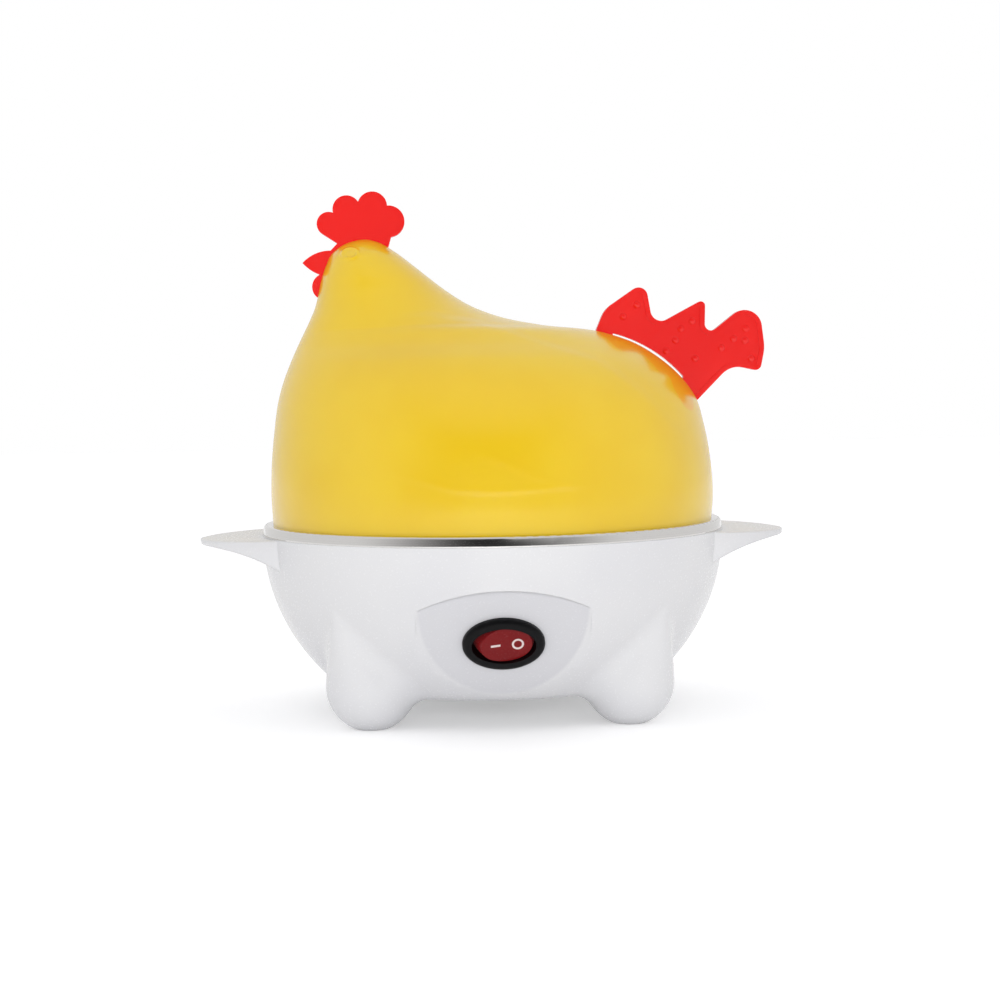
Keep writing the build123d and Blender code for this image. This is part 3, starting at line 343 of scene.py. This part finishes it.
# The curve starts with two points; the rest are added
def rootMask(tree, split, slant, root, strength):
    (left, right), (low, high) = root["span"], root["rise"]
    across = rangeNode(tree, split.outputs["X"], left * mm, right * mm, 0, 1, smooth=False)
    curve = addNode(tree, "ShaderNodeFloatCurve")
    line = curve.mapping.curves[0]
    for index, (x, z) in enumerate(root["edge"]):
        spot = ((x - left) / (right - left), (z - low) / (high - low))
        if index < len(line.points):
            line.points[index].location = spot
        else:
            line.points.new(*spot)
    for point in line.points:
        point.handle_type = "AUTO_CLAMPED"
    curve.mapping.update()
    tree.links.new(across, curve.inputs["Value"])
    height = rangeNode(tree, split.outputs["Z"], low * mm, high * mm, 0, 1, smooth=False)
    above = mathNode(tree, "SUBTRACT", height, curve.outputs["Value"])
    soft = rootGlow["softness"] / (high - low)
    mask = mathNode(tree, "MULTIPLY", rangeNode(tree, above, -soft, soft, 0, 1), strength)
    mask = mathNode(tree, "MULTIPLY", mask, slant)
    inner, outer = rootGlow["crestReach"]
    aside = mathNode(tree, "ABSOLUTE", split.outputs["Y"])
    crest = rangeNode(tree, aside, inner * mm, outer * mm, rootGlow["crestStrength"], 0)
    mask = mathNode(tree, "MAXIMUM", mask, crest)
    start, full = (reach / (right - left) for reach in rootGlow["endFade"])
    enter = rangeNode(tree, across, start, full, 0, 1)
    leave = rangeNode(tree, across, 1 - full, 1 - start, 1, 0)
    return mathNode(tree, "MULTIPLY", mask, mathNode(tree, "MULTIPLY", enter, leave))


lidYellow, lidTree, lidSurface = plastic(
    "lidYellow", tint(241, 199, 32), tint(244, 204, 40), 0.22, 0.015,
    Coat_Weight=0.15, Coat_Roughness=0.06,
    Subsurface_Weight=0.15, Subsurface_Scale=0.006, Subsurface_Radius=(1.0, 0.7, 0.15),
)[:3]
lidPlace = addNode(lidTree, "ShaderNodeTexCoord")
lidSplit = addNode(lidTree, "ShaderNodeSeparateXYZ")
lidTree.links.new(lidPlace.outputs["Object"], lidSplit.inputs[0])
lidView = setInputs(addNode(lidTree, "ShaderNodeLayerWeight"), Blend=0.5)
lidSlant = rangeNode(lidTree, lidView.outputs["Facing"], *rootGlow["grazing"], rootGlow["faceOn"], 1)
tailGlow = rootMask(lidTree, lidSplit, lidSlant, rootGlow["tail"], rootGlow["tailStrength"])
combGlow = rootMask(lidTree, lidSplit, lidSlant, rootGlow["comb"], rootGlow["combStrength"])
glow = mathNode(lidTree, "MAXIMUM", tailGlow, combGlow)
plainYellow = lidSurface.inputs["Base Color"].links[0].from_socket
lidTree.links.new(mixColours(lidTree, glow, plainYellow, rootGlow["tint"]), lidSurface.inputs["Base Color"])
print("materials:", len(bpy.data.materials))


# Lid: ellipses up the hen's body, each with its own breast, back and half width, joined by a smooth
# curve through the heights; the sheet runs from the crown down, round the lip and up the inside

lidForm = {  # millimetres: height above the seat, breast, back, half width
    "sections": [
        (0.0, -78.7, 78.7, 78.7), (8.4, -79.1, 79.3, 78.9), (19.2, -78.9, 78.7, 78.2),
        (33.5, -77.5, 76.3, 75.0), (42.4, -76.2, 73.8, 70.5), (49.6, -74.3, 69.0, 65.0),
        (56.7, -71.6, 61.4, 56.8), (62.3, -69.1, 52.7, 47.0), (66.4, -67.1, 41.4, 40.6),
        (69.6, -65.5, 18.5, 34.6), (72.7, -64.0, 3.9, 30.9), (76.9, -62.2, -6.8, 27.3),
        (82.5, -60.7, -15.6, 23.5), (87.5, -59.5, -22.0, 21.0), (91.7, -58.0, -27.2, 18.3),
        (96.3, -55.4, -33.2, 14.0), (99.6, -50.4, -38.6, 7.6), (100.7, -46.6, -41.8, 3.2),
    ],
    "seat": 67.2, "wall": 1.8, "rows": 420, "innerRows": 60, "around": 180,
    "lip": [(76.9, 68.8), (70.9, 68.8), (70.9, 64.2), (72.2, 64.2), (72.2, 67.2)],
    "shoulder": [(-36.0, 139.4), (-21.6, 140.3), (-9.7, 138.2), (2.0, 134.8), (15.1, 129.8),
                 (35.1, 123.2), (48.1, 113.4), (70.8, 90.4)],
    "shoulderHeight": 0.35, "shoulderStart": (-38, -24), "shoulderEnd": (50, 70),
    "shoulderStep": (-1.6, 1.6), "shoulderFade": (8, 40),
    "wingLow": [(-9.1, 95.8), (-0.6, 91.2), (11.2, 85.8), (24.3, 82.2)], "wingHeight": 0.2,
    "skirtLine": [(-38.3, 88.6), (-26.4, 85.1), (-14.6, 82.1), (-0.8, 81.5), (24.3, 82.6)],
    "skirtHeight": 0.12, "ridgeStart": (-4, 8), "ridgeEnd": (-8, 6), "ridgeWidth": 1.3,
    "eye": (-48.9, 162.3), "eyeReach": (2.7, 1.9), "eyeHeight": 0.55, "eyeStroke": 0.24,
    "leastInner": 1.0, "poleRise": 0.3, "sharpAngle": 50,
}


# Hermite curve through the given values, with slopes from the neighbours
def smoothThrough(spots, values, wanted):
    slope = np.gradient(values, spots, axis=0)
    low = np.clip(np.searchsorted(spots, wanted, side="right") - 1, 0, len(spots) - 2)
    step = (spots[low + 1] - spots[low])[:, None]
    part = ((wanted - spots[low]) / (spots[low + 1] - spots[low]))[:, None]
    return (
        (2 * part**3 - 3 * part**2 + 1) * values[low] + (part**3 - 2 * part**2 + part) * step * slope[low]
        + (3 * part**2 - 2 * part**3) * values[low + 1] + (part**3 - part**2) * step * slope[low + 1]
    )


def softStep(value, low, high):
    share = np.clip((value - low) / (high - low), 0, 1)
    return share * share * (3 - 2 * share)


# Relief in millimetres over x and height: a step below the shoulder line, two faint ridges, eye rings
def lidRelief(x, z):
    sx, sz = np.array(lidForm["shoulder"]).T
    below = np.interp(x, sx, sz) - z
    ends = softStep(x, *lidForm["shoulderStart"]) * (1 - softStep(x, *lidForm["shoulderEnd"]))
    step = softStep(below, *lidForm["shoulderStep"]) * (1 - softStep(below, *lidForm["shoulderFade"]))
    relief = lidForm["shoulderHeight"] * ends * step
    for line, height in (("wingLow", "wingHeight"), ("skirtLine", "skirtHeight")):
        lx, lz = np.array(lidForm[line]).T
        start = softStep(x, *(lx[0] + np.array(lidForm["ridgeStart"])))
        end = 1 - softStep(x, *(lx[-1] + np.array(lidForm["ridgeEnd"])))
        ridge = np.exp(-(((z - np.interp(x, lx, lz)) / lidForm["ridgeWidth"]) ** 2))
        relief = relief + lidForm[height] * start * end * ridge
    eyeX, eyeZ = lidForm["eye"]
    reachX, reachZ = lidForm["eyeReach"]
    ring = np.hypot((x - eyeX) / reachX, (z - eyeZ) / reachZ)
    return relief + lidForm["eyeHeight"] * np.exp(-(((ring - 1) / lidForm["eyeStroke"]) ** 2))


# Ellipse rows: x = middle + half length * cos, y = half width * sin
def ellipseRows(profile, around):
    angle = np.linspace(0, 2 * np.pi, around, endpoint=False)
    height, middle, length, width = (column[:, None] for column in profile.T)
    return np.stack([middle + length * np.cos(angle), width * np.sin(angle), height + 0 * angle], axis=-1)


# Faces of a sheet of rings with a pole at each end
def poleFaces(rings, around):
    ring = np.arange(rings * around).reshape(rings, around)
    after = np.roll(ring, -1, axis=1)
    quads = np.stack([ring[:-1], ring[1:], after[1:], after[:-1]], axis=-1).reshape(-1, 4)
    first, last = rings * around, rings * around + 1
    start = np.stack([np.full(around, first), ring[0], after[0]], axis=-1)
    end = np.stack([np.full(around, last), after[-1], ring[-1]], axis=-1)
    return quads.tolist() + start.tolist() + end.tolist()


def makeLid():
    table = np.array(lidForm["sections"])
    profile = np.stack([table[:, 0], (table[:, 1] + table[:, 2]) / 2,
                        (table[:, 2] - table[:, 1]) / 2, table[:, 3]], axis=-1)
    run = np.concatenate([[0], np.cumsum(np.hypot(np.diff(table[:, 0]), np.diff(table[:, 2])))])
    outer = smoothThrough(run, profile, np.linspace(run[-1], 0, lidForm["rows"]))
    inner = smoothThrough(run, profile, np.linspace(0, run[-1], lidForm["innerRows"]))
    wall, least = lidForm["wall"], lidForm["leastInner"]
    inner = inner - np.array([wall, 0, wall, wall])
    inner = inner[(inner[:, 0] > wall) & (inner[:, 2] > least) & (inner[:, 3] > least)]
    outer[:, 0] += lidForm["seat"]
    inner[:, 0] += lidForm["seat"]
    lip = np.array([(z, 0.0, r, r) for r, z in lidForm["lip"]])[::-1]
    around = lidForm["around"]
    skin = ellipseRows(outer, around)
    down = np.gradient(skin, axis=0)
    along = np.roll(skin, -1, axis=1) - np.roll(skin, 1, axis=1)
    normal = np.cross(down, along)
    normal /= np.linalg.norm(normal, axis=-1, keepdims=True)
    skin = skin + normal * lidRelief(skin[..., 0], skin[..., 2])[..., None]
    sheet = np.concatenate([skin, ellipseRows(np.concatenate([lip, inner]), around)])
    tops = (outer[0], inner[-1])
    poles = np.array([[top[1], 0, top[0] + lidForm["poleRise"]] for top in tops])
    points = np.concatenate([sheet.reshape(-1, 3), poles]) * mm
    faces = poleFaces(len(sheet), around)
    lid = addPiece("henLid", points.tolist(), faces, lidYellow, lidForm["sharpAngle"])
    return dress(lid, "lid", "lid_yellow", "lid_shell")


makeLid()
print("lid: made")


# Red plates, rounded along their outlines, and the round bumps on the tail

comb = smoothCopy("comb_plate", "combPlate", "lid", "plate_red", plateRed, sharpAngle=50)
roundEdges(comb, width=0.0007)
tail = smoothCopy("tail_plate", "tailPlate", "lid", "plate_red", plateRed, sharpAngle=50)
roundEdges(tail, width=0.0004, segments=2)

tailBumps = {  # millimetres
    "places": [(48.2, 139.4), (53.2, 143.5), (69.0, 134.7), (67.0, 130.6), (63.6, 126.8), (74.1, 123.9),
               (73.1, 137.4), (92.3, 130.2), (92.6, 134.4), (94.5, 123.6), (88.1, 130.9), (83.6, 127.6)],
    "radius": 1.3, "height": 0.6, "sink": 0.5, "rootDepth": 0.3, "rings": 6, "around": 16, "sharpAngle": 60,
}


# Domes on both faces: radius falls as the cosine of a quarter turn, height rises as its sine
def makeBumps():
    rise = np.linspace(0, np.pi / 2, tailBumps["rings"], endpoint=False)
    turn = np.linspace(0, 2 * np.pi, tailBumps["around"], endpoint=False)
    radius = tailBumps["radius"] * np.cos(rise)[:, None]
    reach = (tailBumps["height"] * np.sin(rise))[:, None] + 0 * turn
    dome = np.stack([radius * np.cos(turn), -reach, radius * np.sin(turn)], axis=-1).reshape(-1, 3)
    dome = np.concatenate([dome, [[0, tailBumps["rootDepth"], 0], [0, -tailBumps["height"], 0]]])
    level = -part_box("tail_plate")[0].y / mm - tailBumps["sink"]
    places = np.array([(x, 0, z) for x, z in tailBumps["places"]])
    front = places[:, None, :] + dome + np.array([0, -level, 0])
    points = np.concatenate([front, front * np.array([1, -1, 1])]).reshape(-1, 3) * mm
    one = poleFaces(tailBumps["rings"], tailBumps["around"])
    faces = []
    for copy in range(2 * len(places)):
        order = -1 if copy >= len(places) else 1
        faces += [[corner + copy * len(dome) for corner in face][::order] for face in one]
    bumps = addPiece("tailBumps", points.tolist(), faces, plateRed, tailBumps["sharpAngle"])
    return dress(bumps, "lid", "plate_red")


makeBumps()
print("plates: comb, tail and bumps")


# Base, dish, tray, switch and gland as smooth skins of their CAD shapes

smoothCopy("base_shell", "baseBody", "base", "white_plastic", whiteGloss, sharpAngle=30)
smoothCopy("heating_dish", "heatingDish", "base", "steel", spunSteel, sharpAngle=40)
smoothCopy("egg_tray", "eggTray", "tray", "tray_plastic", traySatin)
smoothCopy("switch_housing", "switchBezel", "base", "black_plastic", bezelBlack)
rocker = smoothCopy("rocker", "rockerCap", "rocker", "rocker_red", rockerRubyGlow)
roundEdges(rocker, width=0.00035)
smoothCopy("cord_gland", "cordGland", "base", "grey_rubber", glandGrey)
print("base: skins made")


# The rocker's own directions across, up and out of its face; at rest it is tipped half its swing from level

restTilt = radians(hinge["range_deg"][1]) / 2
rockerWays = np.stack([
    panelAside * cos(restTilt) - panelOut * sin(restTilt), panelUp,
    panelOut * cos(restTilt) + panelAside * sin(restTilt),
])
rockerFit = {  # millimetres: turned shape's radius, the face's lift and where it starts; spread is a share
    "reach": 10.3, "lift": 0.9, "liftFrom": (1.0, 5.0), "spread": 0.992,
}


# From across, up and outward over the pivot to the shared frame
def rockerPoints(across, up, out):
    return hingePoint + np.stack([across, up, out], axis=-1) @ rockerWays * mm


# The rocker's upper and lower sides run straight out to its face, and the face stands a little higher:
# up / sqrt(1 - (out / reach)^2) undoes the narrowing of the turned shape
def fillWindow(piece):
    corners = np.empty(len(piece.data.vertices) * 3)
    piece.data.vertices.foreach_get("co", corners)
    across, up, out = ((corners.reshape(-1, 3) - hingePoint) / mm @ rockerWays.T).T
    up = up * rockerFit["spread"] / np.sqrt(1 - (np.clip(out, 0, None) / rockerFit["reach"]) ** 2)
    out = out + rockerFit["lift"] * softStep(out, *rockerFit["liftFrom"])
    piece.data.vertices.foreach_set("co", rockerPoints(across, up, out).ravel())
    piece.data.update()


fillWindow(rocker)


# Printed line and circle on the rocker: thin raised bands on the hollow face, whose height over the
# pivot is low + across^2 / (2 * radius)

marks = {  # millimetres in the rocker's own directions
    "faceLow": 6.0, "faceRadius": 44.95, "lift": 0.06, "sink": 0.2,
    "lineMiddle": -3.6, "lineLength": 3.2, "lineWidth": 0.75,
    "ringMiddle": 3.8, "ringRadius": 1.65, "ringStroke": 0.65, "around": 64, "along": 10,
}


# A raised band: its two edges on the face, each with a foot sunk into the rocker
def markBand(name, inner, outer, closed):
    lift, foot = marks["lift"], -marks["sink"]
    rows = []
    for edge, rise in ((inner, foot), (inner, lift), (outer, lift), (outer, foot)):
        height = marks["faceLow"] + edge[:, 0] ** 2 / (2 * marks["faceRadius"])
        rows.append(rockerPoints(edge[:, 0], edge[:, 1], height + rise))
    points = np.stack(rows)
    index = np.arange(points.shape[0] * points.shape[1]).reshape(points.shape[:2])
    if closed:
        index = np.concatenate([index, index[:, :1]], axis=1)
    around = np.concatenate([index, index[:1]], axis=0)
    quads = np.stack([around[:-1, :-1], around[:-1, 1:], around[1:, 1:], around[1:, :-1]], axis=-1)
    faces = quads.reshape(-1, 4).tolist()
    if not closed:
        faces += [index[:, 0].tolist(), index[::-1, -1].tolist()]
    piece = addPiece(name, points.reshape(-1, 3).tolist(), faces, markWhite)
    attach(piece, "rocker")


def makeMarks():
    run = np.linspace(-0.5, 0.5, marks["along"]) * marks["lineLength"] + marks["lineMiddle"]
    half = np.full_like(run, marks["lineWidth"] / 2)
    markBand("offLine", np.stack([run, -half], axis=-1), np.stack([run, half], axis=-1), closed=False)
    turn = np.linspace(0, 2 * np.pi, marks["around"], endpoint=False)
    circle = np.stack([np.cos(turn), np.sin(turn)], axis=-1)
    middle = np.array([marks["ringMiddle"], 0])
    half = marks["ringStroke"] / 2
    inner = middle + (marks["ringRadius"] - half) * circle
    outer = middle + (marks["ringRadius"] + half) * circle
    markBand("offRing", inner, outer, closed=True)


makeMarks()
print("marks: line and ring")


# Finishes of the pieces inside and underneath, which keep their CAD shape

slotFinish = {
    "white_plastic": coverSatin, "tray_plastic": traySatin, "grey_rubber": glandGrey, "steel": spunSteel,
    "plated_steel": zincPlated, "aluminium": castAlloy, "brass": platedBrass, "black_plastic": bezelBlack,
    "rocker_red": rockerRubyGlow, "lamp_glass": lampGlass, "sleeve_nylon": nylonCream, "wire_brown": wireBrown,
    "wire_blue": wireBlue, "lid_yellow": lidYellow, "plate_red": plateRed,
}
for part in frame["record"]["subparts"]:
    mesh = nodes[part["node"]].data
    mesh.materials.clear()
    mesh.materials.append(slotFinish[part["material_slot"]])


# Camera, as fitted to the photograph

cameraView = {  # millimetres and degrees
    "place": (-30.2, -699.35, 115.53), "heading": -2.705, "down": 3.391, "roll": 0.936,
    "focalPixels": 1941.51, "imagePixels": 1000, "sensor": 36.0, "clip": (10, 50000),
}


def makeCamera():
    heading, down, roll = (radians(cameraView[name]) for name in ("heading", "down", "roll"))
    ahead = Vector((-sin(heading) * cos(down), cos(heading) * cos(down), -sin(down)))
    right = Vector((cos(heading), sin(heading), 0))
    upward = right.cross(ahead)
    across = right * cos(roll) - upward * sin(roll)
    aloft = upward * cos(roll) + right * sin(roll)
    lens = bpy.data.cameras.new("camera")
    lens.sensor_width = cameraView["sensor"]
    lens.lens = cameraView["focalPixels"] / cameraView["imagePixels"] * cameraView["sensor"]
    lens.clip_start, lens.clip_end = (reach * mm for reach in cameraView["clip"])
    camera = bpy.data.objects.new("camera", lens)
    bpy.context.scene.collection.objects.link(camera)
    turn = Matrix((across, aloft, -ahead)).transposed().to_4x4()
    camera.matrix_world = Matrix.Translation(Vector(cameraView["place"]) * mm) @ turn
    bpy.context.scene.camera = camera


makeCamera()


# Floor and light: a white room, dark in front and light at the sides and overhead, and one wide soft
# lamp low in front

room = {  # metres, degrees and watts; the sky's fade is over the upward part of the direction
    "floorSize": 6.0, "floorTint": tint(244, 244, 245), "floorRough": 0.9, "floorLift": 0.34,
    "strength": 0.84, "bandMiddle": -4.0, "bandInner": 4.0, "bandOuter": 75.0, "bandLevel": 0.04,
    "skyFade": (0.40, 0.95),
    "lampPlace": (-0.05, -1.30, 0.26), "lampAim": (0, 0, 0.08), "lampSize": (1.1, 0.42), "lampPower": 7.5,
}


def makeFloor():
    half = room["floorSize"] / 2
    material, tree, surface = newMaterial("floorPale")
    setInputs(
        surface, Base_Color=room["floorTint"], Roughness=room["floorRough"], Emission_Color=(1, 1, 1, 1),
    )
    path = addNode(tree, "ShaderNodeLightPath")
    seen = mathNode(tree, "MAXIMUM", path.outputs["Is Camera Ray"], path.outputs["Is Glossy Ray"])
    seen = mathNode(tree, "MAXIMUM", seen, path.outputs["Is Transmission Ray"])
    tree.links.new(mathNode(tree, "MULTIPLY", seen, room["floorLift"]), surface.inputs["Emission Strength"])
    corners = [(-half, -half, 0), (half, -half, 0), (half, half, 0), (-half, half, 0)]
    addPiece("floor", corners, [(0, 1, 2, 3)], material)


def makeWorld():
    world = bpy.data.worlds.new("whiteRoom")
    bpy.context.scene.world = world
    world.use_nodes = True
    tree = world.node_tree
    glow = tree.nodes["Background"]
    direction = addNode(tree, "ShaderNodeTexCoord")
    split = addNode(tree, "ShaderNodeSeparateXYZ")
    tree.links.new(direction.outputs["Generated"], split.inputs[0])
    toFront = mathNode(tree, "MULTIPLY", split.outputs["Y"], -1.0)
    side = mathNode(tree, "ARCTAN2", split.outputs["X"], toFront)
    off = mathNode(tree, "ABSOLUTE", mathNode(tree, "SUBTRACT", side, radians(room["bandMiddle"])))
    inner, outer = radians(room["bandInner"]), radians(room["bandOuter"])
    band = rangeNode(tree, off, inner, outer, room["bandLevel"], 1)
    sky = rangeNode(tree, split.outputs["Z"], *room["skyFade"], 0, 1)
    lit = mathNode(tree, "MULTIPLY", mathNode(tree, "MAXIMUM", band, sky), room["strength"])
    path = addNode(tree, "ShaderNodeLightPath")
    strength = mathNode(tree, "MAXIMUM", lit, path.outputs["Is Camera Ray"])
    tree.links.new(strength, glow.inputs["Strength"])
    setInputs(glow, Color=(1, 1, 1, 1))


def makeLamp():
    lamp = bpy.data.lights.new("softLamp", "AREA")
    lamp.shape = "ELLIPSE"
    lamp.size, lamp.size_y = room["lampSize"]
    lamp.energy = room["lampPower"]
    holder = bpy.data.objects.new("softLamp", lamp)
    bpy.context.scene.collection.objects.link(holder)
    holder.location = room["lampPlace"]
    holder.visible_glossy = False
    aim = Vector(room["lampAim"]) - Vector(room["lampPlace"])
    holder.rotation_mode = "QUATERNION"
    holder.rotation_quaternion = aim.to_track_quat("-Z", "Y")


makeFloor()
makeWorld()
makeLamp()
bpy.context.scene.view_settings.view_transform = "Standard"
print("stage: floor, room light, lamp, camera")
